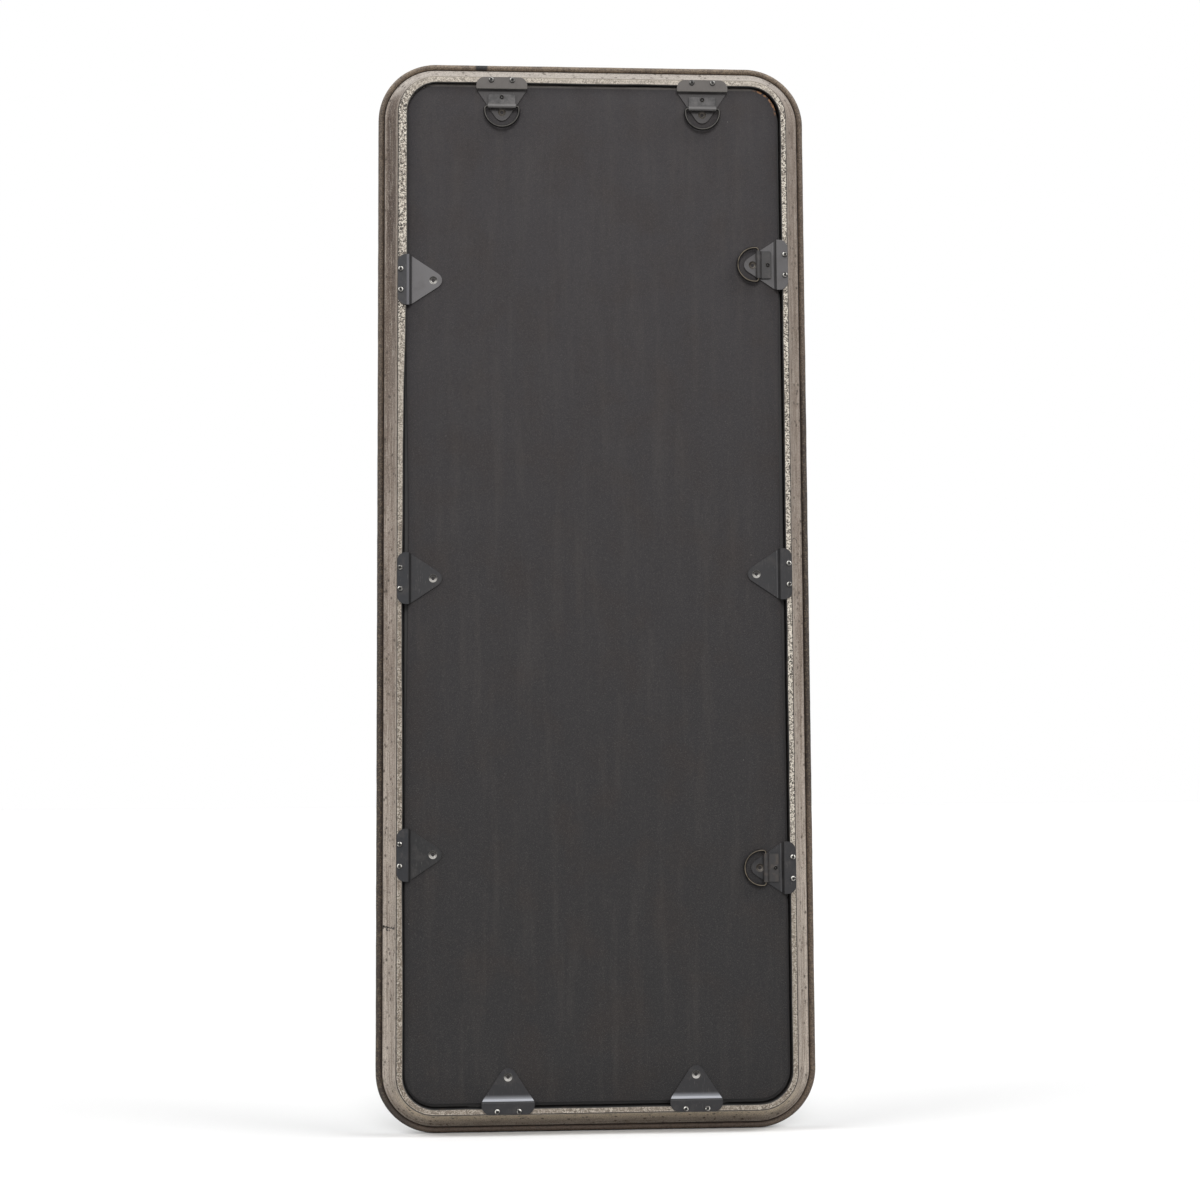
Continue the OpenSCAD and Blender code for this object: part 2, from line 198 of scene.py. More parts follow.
# The rear one would show as a bright spot in the glass, so glossy rays don't see it
for name, power, spread, bearing, height in lamps:
    lamp_data = bpy.data.lights.new(name, "SUN")
    lamp_data.energy = power
    lamp_data.angle = math.radians(spread)
    lamp = bpy.data.objects.new(name, lamp_data)
    lamp.visible_glossy = name != "rear"
    bpy.context.scene.collection.objects.link(lamp)
    turn, lift = math.radians(bearing), math.radians(height)
    towards = Vector((math.sin(turn) * math.cos(lift), math.cos(turn) * math.cos(lift), math.sin(lift)))
    lamp.matrix_world = towards.to_track_quat("Z", "Y").to_matrix().to_4x4()


# The frame is one sand casting in aluminium with a browned nickel finish that has worn unevenly.
# Its section starts in the groove beside the lip and runs over the cove, the ledge, the rebate, the
# sight bead and the dished front round to the lip. It is swept along the four sides and corners.
def pick(piece, wanted, kind="VERT"):
    """Selects in edit mode the vertices or edges that wanted() says yes to, and nothing else."""
    bpy.ops.mesh.select_mode(type=kind)
    bpy.ops.mesh.select_all(action="DESELECT")
    mesh = bmesh.from_edit_mesh(piece.data)
    for part in {"VERT": mesh.verts, "EDGE": mesh.edges}[kind]:
        if wanted(part):
            part.select_set(True)
    mesh.select_flush_mode()
    bmesh.update_edit_mesh(piece.data)


def modify(piece, kind, **settings):
    """Adds a modifier with these settings and applies it."""
    bpy.context.view_layer.objects.active = piece
    modifier = piece.modifiers.new(kind.lower(), kind)
    for name, value in settings.items():
        setattr(modifier, name, value)
    bpy.ops.object.modifier_apply(modifier=modifier.name)


def begin(name, add, **sizes):
    """Adds a primitive with nothing else selected, and opens it in edit mode."""
    bpy.ops.object.select_all(action="DESELECT")
    add(**sizes)
    bpy.context.object.name = name
    bpy.ops.object.mode_set(mode="EDIT")
    return bpy.context.object


def pen_down(name, point):
    """Begins a piece with a single vertex, at a point in metres."""
    piece = begin(name, bpy.ops.mesh.primitive_plane_add, size=1)
    bpy.ops.mesh.select_mode(type="VERT")
    bpy.ops.mesh.merge(type="CENTER")
    bpy.ops.transform.translate(value=point)
    return piece


def draw(move):
    """Extrudes what is selected vertex by vertex, by a move in metres, and selects the new end."""
    bpy.ops.mesh.extrude_vertices_move(TRANSFORM_OT_translate={"value": move})


def drag(move):
    """Extrudes what is selected as a whole, by a move in metres, and selects the new end."""
    bpy.ops.mesh.extrude_region_move(TRANSFORM_OT_translate={"value": move})


def merge_doubles():
    """Selects everything and merges vertices that lie on each other."""
    bpy.ops.mesh.select_all(action="SELECT")
    bpy.ops.mesh.remove_doubles(threshold=0.02 * MM)


def close_up(smooth_angle):
    """Merges doubles, turns the normals outward, leaves edit mode and smooths the shading."""
    merge_doubles()
    bpy.ops.mesh.normals_make_consistent(inside=False)
    bpy.ops.object.mode_set(mode="OBJECT")
    bpy.ops.object.shade_smooth_by_angle(angle=math.radians(smooth_angle))


def hand_over(piece, body, material, node):
    """Gives a finished piece its material, its body and the node that it stands for."""
    piece.data.materials.clear()
    piece.data.materials.append(material)
    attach(piece, body)
    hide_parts(node)


def centre_of(first, last, radius):
    """Centre of the arc of that radius from first to last, on the left of the way between them."""
    half = (last - first) / 2
    reach = math.sqrt(radius**2 - half.length_squared)
    return first + half + Vector((-half.y, half.x)).normalized() * reach


# Sizes are in millimetres, boxes of nodes in metres. Names end in _r for a radius, in _w, _h, _l or _t
# for width, height, length or thickness, and in _d for the distance from the wall.
frame_low, frame_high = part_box("frame")
half_w, half_h = frame_high.x / MM, frame_high.z / MM
front_d, ledge_d = -frame_low.y / MM, -frame_high.y / MM
corner_r = 84
run_w, run_h = half_w - corner_r, half_h - corner_r
lip_r = 4.6
ledge_in, rebate_in = 30, 38.5
ledge_chamfer = 0.8
cove_r, dish_r = 52, 70
land_d, shoulder_d = 22.6, front_d - 2.6
bead_r = 2.6
corner_steps = 34

# In the section x is the distance inward from the outer edge, and y is the distance from the wall
lip_c = Vector((lip_r, front_d - lip_r))
groove = Vector((2 * lip_r - 0.6, front_d - 1.5 * lip_r))
arris = Vector((ledge_in - 1, ledge_d + 1.2))
bead_c = Vector((rebate_in + bead_r + 2, land_d + bead_r + 0.2))
dish_in = bead_c + Vector((-2.15, 1.48))
dish_out = Vector((2 * lip_r + 0.6, shoulder_d))
lip_in = Vector((2 * lip_r - 0.46, shoulder_d))
section = [
    # name, last point, centre of its arc, sense of the arc, steps
    ("cove", arris, centre_of(arris, groove, cove_r), -1, 12),
    ("arris", Vector((ledge_in, arris.y)), None, 0, 1),
    ("step", Vector((ledge_in, ledge_d + ledge_chamfer)), None, 0, 1),
    ("outer_edge", Vector((ledge_in + ledge_chamfer, ledge_d)), None, 0, 1),
    ("ledge", Vector((rebate_in - ledge_chamfer, ledge_d)), None, 0, 4),
    ("inner_edge", Vector((rebate_in, ledge_d + ledge_chamfer)), None, 0, 1),
    ("rebate", Vector((rebate_in, land_d)), None, 0, 3),
    ("land", Vector((bead_c.x, land_d)), None, 0, 2),
    ("bead_foot", bead_c - Vector((0, bead_r)), None, 0, 1),
    ("bead", dish_in, bead_c, 1, 8),
    ("dish", dish_out, centre_of(dish_out, dish_in, dish_r), -1, 10),
    ("shoulder", lip_in, None, 0, 1),
    ("lip", groove, lip_c, 1, 14),
]


def in_section(point):
    """The point of the section at the middle of the frame's lower side, in metres."""
    return Vector((0, -point.y, point.x - half_h)) * MM


casting = pen_down("cast_frame", in_section(groove))
pen, length, mark, way = groove, 0.0, {}, [(groove, 0.0)]
for name, end, centre, sense, steps in section:
    if centre:
        first, last = pen - centre, end - centre
        swing = math.atan2(first.x * last.y - first.y * last.x, first.dot(last))
        if swing * sense < 0:
            swing += sense * 2 * math.pi
        bpy.ops.mesh.spin(steps=steps, angle=swing, center=in_section(centre), axis=(-1, 0, 0))
        places = [centre + Matrix.Rotation(swing * i / steps, 2) @ first for i in range(1, steps + 1)]
        stride = abs(swing) * first.length / steps
    else:
        places = [pen.lerp(end, i / steps) for i in range(1, steps + 1)]
        stride = (end - pen).length / steps
        for _ in places:
            draw((in_section(end) - in_section(pen)) / steps)
    way += [(place, length + stride * i) for i, place in enumerate(places, 1)]
    pen, length = end, length + stride * steps
    mark[name] = length * MM
merge_doubles()

# Each vertex of the section keeps its distance round the section through the sweep
bpy.ops.object.mode_set(mode="OBJECT")
across = casting.data.attributes.new("across", "FLOAT", "POINT")
for vertex in casting.data.vertices:
    here = Vector((vertex.co.z / MM + half_h, -vertex.co.y / MM))
    across.data[vertex.index].value = min(way[:-1], key=lambda step: (step[0] - here).length)[1] * MM

bpy.ops.object.mode_set(mode="EDIT")
bpy.ops.mesh.select_all(action="SELECT")
sweep = [
    ((run_w, 0, 0), (run_w, 0, -run_h)),
    ((0, 0, 2 * run_h), (run_w, 0, run_h)),
    ((-2 * run_w, 0, 0), (-run_w, 0, run_h)),
    ((0, 0, -2 * run_h), (-run_w, 0, -run_h)),
]
for move, pivot in sweep:
    drag(Vector(move) * MM)
    bpy.ops.mesh.spin(steps=corner_steps, angle=math.pi / 2, center=Vector(pivot) * MM, axis=(0, 1, 0))
drag((run_w * MM, 0, 0))
merge_doubles()
for shortest, cuts in ((1000, 5), (150, 66)):
    pick(casting, lambda edge: edge.calc_length() > shortest * MM, "EDGE")
    bpy.ops.mesh.subdivide(number_cuts=cuts)
close_up(40)

# The sand left the metal a little wavy, and the ledge's inner edge wanders most near the top left corner.
# Shifts of that edge on the left side: middle and half the length in metres, size in millimetres.
swellings = [(0.50, 0.33, 5.2), (0.67, 0.12, 2.5), (-0.62, 0.20, 1.3)]
hollows = [(-0.05, 0.25, 1.2)]
full_shift = 8
left_from = 0.2
inner = casting.vertex_groups.new(name="inner_edge")
swollen = casting.vertex_groups.new(name="swelling")
hollow = casting.vertex_groups.new(name="hollow")


def bulge(places, z):
    """How far the bulges at these places reach at a height, in millimetres."""
    shares = [(max(0, 1 - abs(z - middle) / reach), size) for middle, reach, size in places]
    return sum(size * share * share * (3 - 2 * share) for share, size in shares)


rounds = [entry.value for entry in casting.data.attributes["across"].data]
for vertex, at in zip(casting.data.vertices, rounds):
    if mark["step"] < at < mark["land"]:
        weight = min(1, (at - mark["step"]) / (mark["ledge"] - mark["step"]))
        weight *= min(1, (mark["rebate"] - at) / (mark["rebate"] - mark["inner_edge"]))
        weight = max(0, weight)
        inner.add([vertex.index], weight, "REPLACE")
        if vertex.co.x > left_from:
            for group, places in ((swollen, swellings), (hollow, hollows)):
                group.add([vertex.index], weight * bulge(places, vertex.co.z) / full_shift, "REPLACE")
for name, size, group, direction, strength in (
    ("waves", 0.04, "", "NORMAL", 0.5),
    ("ripples", 0.009, "", "NORMAL", 0.22),
    ("wander", 0.07, "inner_edge", "X", 1.2),
    ("stray", 0.06, "inner_edge", "Z", 1.2),
):
    clouds = bpy.data.textures.new(name, "CLOUDS")
    clouds.noise_scale = size
    clouds.noise_depth = 1
    modify(casting, "DISPLACE", texture=clouds, texture_coords="LOCAL", vertex_group=group,
           direction=direction, mid_level=0.55, strength=strength * MM)
for group, strength in (("swelling", -full_shift), ("hollow", full_shift)):
    modify(casting, "DISPLACE", vertex_group=group, direction="X", mid_level=0, strength=strength * MM)

# The finish is laid on by the distance along the frame and the distance round its section. In the
# corners the distance along the frame is the one on this radius.
bend = 64
half_run = run_w + run_h
round_trip = (4 * half_run + 2 * math.pi * bend) * MM


def along(place):
    """Distance along the frame in metres, from the middle of its lower side by its left side."""
    x, z = place.x / MM, place.z / MM
    core_x, core_z = max(-run_w, min(run_w, x)), max(-run_h, min(run_h, z))
    turned = math.atan2(x - core_x, core_z - z)
    side = round(2 * turned / math.pi)
    straight = [core_x, half_run + core_z, 2 * half_run - core_x, -2 * half_run - core_x, -half_run - core_z]
    return (straight[side] + bend * turned) * MM % round_trip


sweep_map = casting.data.uv_layers.new(name="sweep")
across = casting.data.attributes["across"].data
lengthways = [along(vertex.co) for vertex in casting.data.vertices]
for face in casting.data.polygons:
    us = [lengthways[i] for i in face.vertices]
    vs = [across[i].value for i in face.vertices]
    for loop, u, v in zip(face.loop_indices, us, vs):
        u += round_trip if max(us) - u > round_trip / 2 else 0
        v += mark["lip"] if max(vs) - v > mark["lip"] / 2 else 0
        sweep_map.data[loop].uv = (u, v)


def blend(factor, first, second):
    """Goes from the first colour to the second as the factor goes from 0 to 1."""
    return factor.node("ShaderNodeMix", {"data_type": "RGBA"}, {0: factor, 6: first, 7: second}, output=2)


def coated(colour, coats):
    """Lays coats on a colour, one after the other, from pairs of a share and a 0 to 255 colour."""
    for share, tone in coats:
        colour = blend(share, colour, paint(*tone))
    return colour


def place_in(tree):
    """The place in the room, in metres, because finished pieces have their origin at that of the room."""
    return tree.node("ShaderNodeTexCoord", output="Object")


def noise(place, scale, detail=3, roughness=0.55):
    """Cloudy noise of so many waves per metre."""
    sizes = {"Scale": scale, "Detail": detail, "Roughness": roughness}
    return place.node("ShaderNodeTexNoise", {}, {"Vector": place, **sizes})


def stretched(place, scale):
    """A place times a scale for each of its axes."""
    return place.node("ShaderNodeMapping", {}, {"Vector": place, "Scale": scale})


def distance(place, centre):
    """How far a place is from a centre, in metres."""
    ends = {0: place, 1: centre}
    return place.node("ShaderNodeVectorMath", {"operation": "DISTANCE"}, ends, output="Value")


def spot(place, centre, size):
    """1 inside the ellipsoid with this centre and these half sizes in metres, 0 outside."""
    away = place.node("ShaderNodeVectorMath", {"operation": "SUBTRACT"}, {0: place, 1: centre})
    away = place.node("ShaderNodeVectorMath", {"operation": "DIVIDE"}, {0: away, 1: size})
    away = place.node("ShaderNodeVectorMath", {"operation": "LENGTH"}, {0: away}, output="Value")
    return rise(away, 1.15, 0.75)


def principled(tree, height, bump, **inputs):
    """Closes a material: a bump of so many metres from a height, and the inputs of the surface."""
    relief = tree.node("ShaderNodeBump", {}, {"Height": height, "Distance": bump})
    inputs = {name.replace("_", " "): value for name, value in inputs.items()}
    shader = tree.node("ShaderNodeBsdfPrincipled", {}, {"Normal": relief, **inputs})
    tree.node("ShaderNodeOutputMaterial", {}, {"Surface": shader})


cast_paint, cast = new_material("browned_nickel")
swept = cast.node("ShaderNodeUVMap", {"uv_map": "sweep"})
crossway = swept.axis("Y")
room_place = place_in(cast)
height = room_place.axis("Z")
sideways = room_place.axis("X")

# Colours round the section: stretch and the distance from its end in millimetres, then the colour
mark["start"] = 0
bands = [
    # Painted shade: the groove at the start of the section is dark
    ("start", 0, (34, 27, 24)),
    ("start", 1.1, (46, 37, 32)),
    ("start", 2.1, (196, 183, 171)),
    ("start", 5.0, (190, 176, 164)),
    ("start", 13.0, (180, 166, 154)),
    ("start", 24.0, (184, 170, 158)),
    # Pale arrises beside the step, partly wear and partly painted highlight, and a dark line of painted
    # shade on the step between them
    ("cove", -1.5, (198, 186, 173)),
    ("cove", 0, (206, 196, 182)),
    ("cove", 0.3, (58, 49, 43)),
    ("outer_edge", -0.2, (50, 42, 37)),
    ("outer_edge", 0.3, (208, 198, 184)),
    ("outer_edge", 1.6, (186, 176, 163)),
    ("ledge", -1.6, (190, 180, 167)),
    # A pale arris at the inner end of the ledge, partly wear and partly painted highlight, then black
    # painted shade over the inner chamfer, the rebate wall and the land
    ("ledge", -0.9, (218, 209, 195)),
    ("ledge", -0.5, (14, 12, 12)),
    ("inner_edge", 2.5, (14, 13, 13)),
    ("land", 0, (30, 27, 25)),
    ("bead_foot", 0, (120, 108, 95)),
    ("bead", 0, (160, 148, 132)),
    ("bead", 8, (150, 138, 123)),
    ("dish", -4, (132, 120, 106)),
    ("shoulder", 0, (70, 60, 52)),
    ("shoulder", 2.5, (118, 105, 91)),
    ("lip", -13.0, (60, 50, 43)),
    ("lip", -8.6, (52, 43, 37)),
    ("lip", -7.0, (98, 84, 72)),
    ("lip", -2.0, (82, 68, 57)),
    # Painted shade: dark again at the groove
    ("lip", 0, (48, 39, 35)),
]
stops = [((mark[name] + shift * MM) / mark["lip"], paint(*tone)) for name, shift, tone in bands]
base = cast.node("ShaderNodeValToRGB", {"stops": stops}, {"Fac": crossway * (1 / mark["lip"])})

cove_l = mark["cove"]
on_top = rise(height, 0.700, 0.732)
on_bottom = rise(height, -0.690, -0.728)
on_left = rise(sideways, 0.240, 0.272)
on_cove = rise(crossway, 0.9 * MM, 2 * MM) * rise(crossway, cove_l, cove_l - 1 * MM)
on_ledge = rise(crossway, mark["step"], mark["outer_edge"])
on_ledge = on_ledge * rise(crossway, mark["ledge"] - 0.5 * MM, mark["ledge"] - 0.8 * MM)
on_step = rise(crossway, cove_l, cove_l + 0.3 * MM)
on_step = on_step * rise(crossway, mark["outer_edge"], mark["outer_edge"] - 0.3 * MM)
on_lip = rise(crossway, mark["shoulder"], mark["shoulder"] + MM)
on_lip = on_lip * rise(crossway, mark["lip"], mark["lip"] - MM)
mid_cove = rise(crossway, 0.04 * cove_l, 0.20 * cove_l) * rise(crossway, 0.90 * cove_l, 0.64 * cove_l)

# Fine and wide drawn streaks and drifts of the finish run along the frame, the rest lies in the metal
drawn = noise(stretched(swept, (22, 420, 1)), 1, 4, 0.66)
wide_drawn = noise(stretched(swept, (4, 150, 1)), 1, 3, 0.6)
drifts = noise(stretched(swept, (6, 34, 1)), 1, 3)
blotches = noise(room_place, 60, 5, 0.65)
grain = noise(room_place, 560, 2, 0.8)
fine = noise(room_place, 1000, 2, 0.7)
pits = room_place.node("ShaderNodeTexVoronoi", {}, {"Vector": room_place, "Scale": 110})
cells = room_place.node("ShaderNodeTexVoronoi", {}, {"Vector": room_place, "Scale": 640}, output="Color")
cells = cells.node("ShaderNodeSeparateColor", {}, {"Color": cells})
specks = cells * 0.6 + grain * 0.4

# The left side is browned at its top, the ledge is bright and pitted above and dull below, and the lips
# get lighter with height
on_right = rise(sideways, -0.240, -0.272)
browned = on_left * rise(height, 0.02, 0.55) * rise(height, 0.735, 0.70) * mid_cove
streak = on_left * rise(height, -0.20, 0.05) * rise(height, 0.60, 0.30) * rise(drifts, 0.35, 0.58)
streak = streak * rise(crossway, 0.5 * MM, 2.5 * MM) * rise(crossway, 13 * MM, 7 * MM)
colour = coated(base, [
    (on_cove * rise(height, -0.1, -0.5) * 0.35, (226, 216, 203)),
    (on_cove * (1 - on_top) * rise(height, -0.1, 0.5) * 0.25, (124, 109, 97)),
    (browned, (70, 55, 47)),
    (streak * 0.75, (92, 76, 65)),
    (mid_cove * rise(drifts, 0.42, 0.70) * 0.5, (118, 102, 89)),
    (rise(drawn, 0.50, 0.62) * on_cove * 0.55, (100, 86, 75)),
    (rise(drawn, 0.46, 0.34) * on_cove * 0.50, (226, 215, 202)),
    (rise(wide_drawn, 0.50, 0.62) * on_cove * 0.50, (118, 103, 90)),
    (on_top * on_cove * 0.8, (176, 170, 163)),
    # The top side's step faces up, so it is light here instead of carrying the painted shade line
    (on_top * on_step * 0.7, (180, 170, 156)),
    # Painted light and shade on the bottom side's cove: much lighter towards the step and darker towards the
    # groove
    (on_bottom * rise(crossway, 0.05 * cove_l, 0.65 * cove_l) * on_cove, (255, 238, 212)),
    (on_bottom * rise(crossway, 0.5 * cove_l, 0.05 * cove_l) * on_cove * 0.4, (120, 106, 92)),
    (rise(grain, 0.52, 0.64) * on_cove * 0.45, (84, 72, 63)),
    (rise(grain, 0.46, 0.34) * on_cove * 0.40, (226, 216, 203)),
    (rise(pits, 0.34, 0.14) * rise(blotches, 0.44, 0.52) * on_cove * 0.75, (58, 49, 42)),
    (on_right * on_cove * rise(height, -0.5, 0.6) * 0.3, (96, 83, 72)),
])
ledge_end = mark["ledge"]
inside = rise(crossway, ledge_end - 0.2 * MM, ledge_end - 1.2 * MM)
inside = inside * rise(crossway, mark["outer_edge"] + 0.1 * MM, mark["outer_edge"] + 1.1 * MM)
dull = on_left * rise(height, 0.34, -0.02) * 0.85 + on_right * rise(height, -0.30, -0.42) * 0.6
dull = rise(dull + on_bottom * 0.7, 0, 1) * inside
pitted = on_left * rise(height, 0.25, 0.45) + on_right * rise(height, -0.42, -0.28)
pitted = rise(pitted, 0, 1) * (1 - on_top) * 0.45 + rise(blotches, 0.44, 0.58) * 0.2 + 0.25
colour = coated(colour, [
    (dull, (134, 121, 107)),
    (rise(height, 0.0, 0.3) * inside * (1 - on_top) * 0.5, (146, 134, 121)),
    # The bright specks on the ledge are painted glints; the dark ones are pits
    (rise(specks, 0.54, 0.64) * on_ledge * pitted, (240, 232, 218)),
    (rise(specks, 0.46, 0.36) * on_ledge * pitted, (30, 25, 22)),
])
far = rise(height * height, 0.06, 0.12)
colour = blend(on_right * on_lip * 0.8, colour, blend(far, paint(42, 34, 28), paint(98, 84, 72)))
far = rise(height, 0.0, 0.4)
colour = blend(on_left * on_lip * 0.85, colour, blend(far, paint(48, 40, 34), paint(94, 82, 71)))
colour = coated(colour, [
    (on_top * on_lip * rise(blotches, 0.30, 0.55) * 0.85, (126, 111, 95)),
    (rise(blotches, 0.52, 0.72) * (1 - on_ledge) * (1 - on_lip) * 0.35, (96, 82, 70)),
    (rise(specks, 0.60, 0.70) * on_lip * (1 - on_bottom) * 0.2, (176, 158, 132)),
    (rise(specks, 0.44, 0.34) * on_lip * 0.45, (30, 24, 20)),
    (rise(fine, 0.54, 0.66) * on_cove * 0.4, (78, 67, 58)),
])

# A dark blob on the top, a crack low in the left cove and a seam in the right cove
wiggle = noise(stretched(room_place, (200, 1, 200)), 1, 2) * (16 * MM) + height
crack = rise(wiggle, -0.4718, -0.4706) * rise(wiggle, -0.4672, -0.4688)
crack = crack * spot(room_place, (0.291, -0.03, -0.477), (0.012, 0.03, 0.012))
from_hook = distance(stretched(room_place, (1, 0, 1)), (-0.2865, 0, 0.064))
seam = rise(from_hook, 3.6 * MM, 4.2 * MM) * rise(from_hook, 5.6 * MM, 5.0 * MM) * rise(height, 0.061, 0.064)
blob = spot(room_place, (0.160, -0.040, 0.7590), (0.0095, 0.02, 0.012))
colour = coated(colour, [
    (blob * on_lip, (24, 21, 19)),
    (crack * on_cove, (30, 25, 21)),
    (seam * on_cove * 0.8, (50, 42, 36)),
])
roughness = 0.42 + blotches * 0.3
relief = grain * (0.25 + on_ledge * 1.5 + on_lip * 0.5) + drawn * 0.5 + fine * 0.3
principled(cast, relief, 0.35 * MM, Base_Color=colour, Roughness=roughness, Metallic=0.15)
hand_over(casting, "root", cast_paint, "frame")


# The backing board is black-stained hardboard with softly broken edges. It lies loose under the clips,
# a little high in the rebate. Its face is streaked and dusty and its upper corners are scuffed. Its colour
# gets lighter towards the top as painted light, and a strip along its top edge is painted light where the
# ledge shades it.
board_low, board_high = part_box("backing_board")
board_mid, board_size = (board_low + board_high) / 2, board_high - board_low
board_r = 42.1
board_edge_r = 0.7
board_lift = 2
bow_half = 0.38
board = begin("backing_board_dressed", bpy.ops.mesh.primitive_cube_add, size=1)
bpy.ops.transform.resize(value=board_size)
bpy.ops.transform.translate(value=board_mid + Vector((0, 0, board_lift * MM)))
pick(board, lambda e: abs(e.verts[0].co.y - e.verts[1].co.y) > board_size.y / 2, "EDGE")
bpy.ops.mesh.bevel(offset=board_r * MM, segments=14, affect="EDGES")
rim_ys = (board_low.y, board_high.y)
pick(board, lambda e: any(all(abs(v.co.y - y) < 0.1 * MM for v in e.verts) for y in rim_ys), "EDGE")
bpy.ops.mesh.bevel(offset=board_edge_r * MM, segments=3, affect="EDGES")
pick(board, lambda e: e.calc_length() > 1, "EDGE")
bpy.ops.mesh.subdivide(number_cuts=40)
close_up(30)
for side, middle, bow in ((1, 0.05, 4.5), (-1, 0.08, 2.5)):
    bowed = board.vertex_groups.new(name=f"bowed_{bow}")
    for vertex in board.data.vertices:
        if vertex.co.x * side > board_high.x - 3 * MM:
            bowed.add([vertex.index], bulge([(middle, bow_half, 1)], vertex.co.z), "REPLACE")
    modify(board, "DISPLACE", vertex_group=bowed.name, direction="X", mid_level=0,
           strength=-side * bow * MM)

board_paint, black = new_material("stained_hardboard")
place = place_in(black)
height = place.axis("Z")
streaks = noise(stretched(place, (60, 30, 6)), 1, 4, 0.6)
cloudy = noise(place, 14, 5, 0.6)
dust = noise(place, 1500, 0)
specks = place.node("ShaderNodeTexVoronoi", {}, {"Vector": stretched(place, (22, 1, 22)), "Scale": 1})
corner_x, corner_z = board_size.x / 2 - board_r * MM, board_size.z / 2 - board_r * MM
sideways = place.axis("X")
fibres = noise(place, 260, 3, 0.7)
# Painted light: the board gets lighter towards the top
colour = blend(rise(height, -0.76, 0.76), paint(38, 37, 38), paint(56, 53, 55))
for side, start, end, tone in ((-1, 2.6, 0.4, (188, 138, 98)), (1, 1.6, 0.4, (170, 160, 148))):
    centre = Vector((board_mid.x + side * corner_x, board_high.y, board_mid.z + corner_z + board_lift * MM))
    out = distance(place, centre)
    rim = rise(out, (board_r - start - 0.8) * MM, (board_r - start) * MM)
    rim = rim * rise(height, centre.z, centre.z + 12 * MM) * rise(fibres, 0.44, 0.52)
    rim = rim * rise(sideways, centre.x + side * 4 * MM, centre.x + side * 14 * MM)
    colour = blend(rim * rise(out, (board_r + 1) * MM, (board_r - end) * MM), colour, paint(*tone))
top = board_high.z + board_lift * MM
colour = coated(colour, [
    # Painted light on a strip along the top edge, which the ledge shades
    (rise(height, top - 4.5 * MM, top - 2 * MM) * 0.9, (126, 121, 116)),
    (rise(streaks, 0.45, 0.75) * 0.14, (92, 86, 82)),
    (rise(cloudy, 0.45, 0.70) * 0.28, (58, 50, 46)),
    (rise(dust, 0.58, 0.74) * 0.26, (110, 104, 100)),
    (rise(fibres, 0.52, 0.66) * 0.20, (30, 29, 30)),
    (rise(specks, 0.022, 0.010) * 0.4, (150, 146, 140)),
])
principled(
    black, streaks * 0.5 + dust * 0.4, 0.06 * MM,
    Base_Color=colour, Roughness=0.55 + cloudy * 0.2, Specular_IOR_Level=0.3
)
hand_over(board, "root", board_paint, "backing_board")


# Each clip is stamped from 1.8 mm steel sheet: a flange with rounded corners lies on the ledge, and a
# tapered tab is bent down to the board, with a countersunk hole near its tip. The finish is black
# oxide, worn and scratched lighter in patches, with painted light that grows with height, a painted
# sheen on some clips, and painted highlights and painted shade along the bends and in the countersinks.
# Four of them carry the straps of the hanging rings.
# Names that end in _u are distances along the clip from the outer end of its flange.
flange_l = 16.5
ramp_l = 3
clip_w = 73
clip_t = 1.8
flange_r = 12
tip_screw_u = 50.1
flange_d = ledge_d - clip_t
recess = 5
bend_width = 1.1
taper = math.radians(33.6)
apex_u = flange_l + clip_w / 2 / math.tan(taper)
tab_u = flange_l + ramp_l
tip_reach = 18.3

clip = begin("clip_sheet", bpy.ops.mesh.primitive_plane_add, size=1)
bpy.ops.transform.resize(value=(flange_l * MM, clip_w * MM, 1))
bpy.ops.transform.translate(value=Vector((flange_l / 2, 0, flange_d)) * MM)
pick(clip, lambda v: v.co.x > flange_l / 2 * MM)
drag(((apex_u - flange_l) * MM, 0, 0))
bpy.ops.mesh.merge(type="CENTER")
pick(clip, lambda v: v.co.x < 0.1 * MM)
bpy.ops.mesh.bevel(offset=flange_r * MM, segments=8, affect="VERTICES")
pick(clip, lambda v: v.co.x > (apex_u - 0.1) * MM)
bpy.ops.mesh.bevel(offset=tip_reach * MM, segments=12, affect="VERTICES")
bpy.ops.mesh.select_all(action="SELECT")
bpy.ops.mesh.bisect(plane_co=(tab_u * MM, 0, 0), plane_no=(1, 0, 0))
pick(clip, lambda v: v.co.x > (tab_u - 0.1) * MM)
bpy.ops.transform.translate(value=(0, 0, recess * MM))
for bend_u in (flange_l, tab_u):
    pick(clip, lambda e: all(abs(v.co.x - bend_u * MM) < 0.1 * MM for v in e.verts), "EDGE")
    bpy.ops.mesh.bevel(offset=bend_width * MM, segments=4, affect="EDGES")
close_up(30)
modify(clip, "SOLIDIFY", thickness=clip_t * MM, offset=1)


def turned(name, profile, steps, centre=0):
    """A solid turned about an axis along Z at x = centre, from radii and levels in millimetres."""
    piece = pen_down(name, Vector((centre + profile[0][0], 0, profile[0][1])) * MM)
    for before, after in zip(profile, profile[1:]):
        draw(Vector((after[0] - before[0], 0, after[1] - before[1])) * MM)
    bpy.ops.mesh.select_all(action="SELECT")
    bpy.ops.mesh.spin(steps=steps, angle=2 * math.pi, center=(centre * MM, 0, 0), axis=(0, 0, 1))
    close_up(35)
    return piece


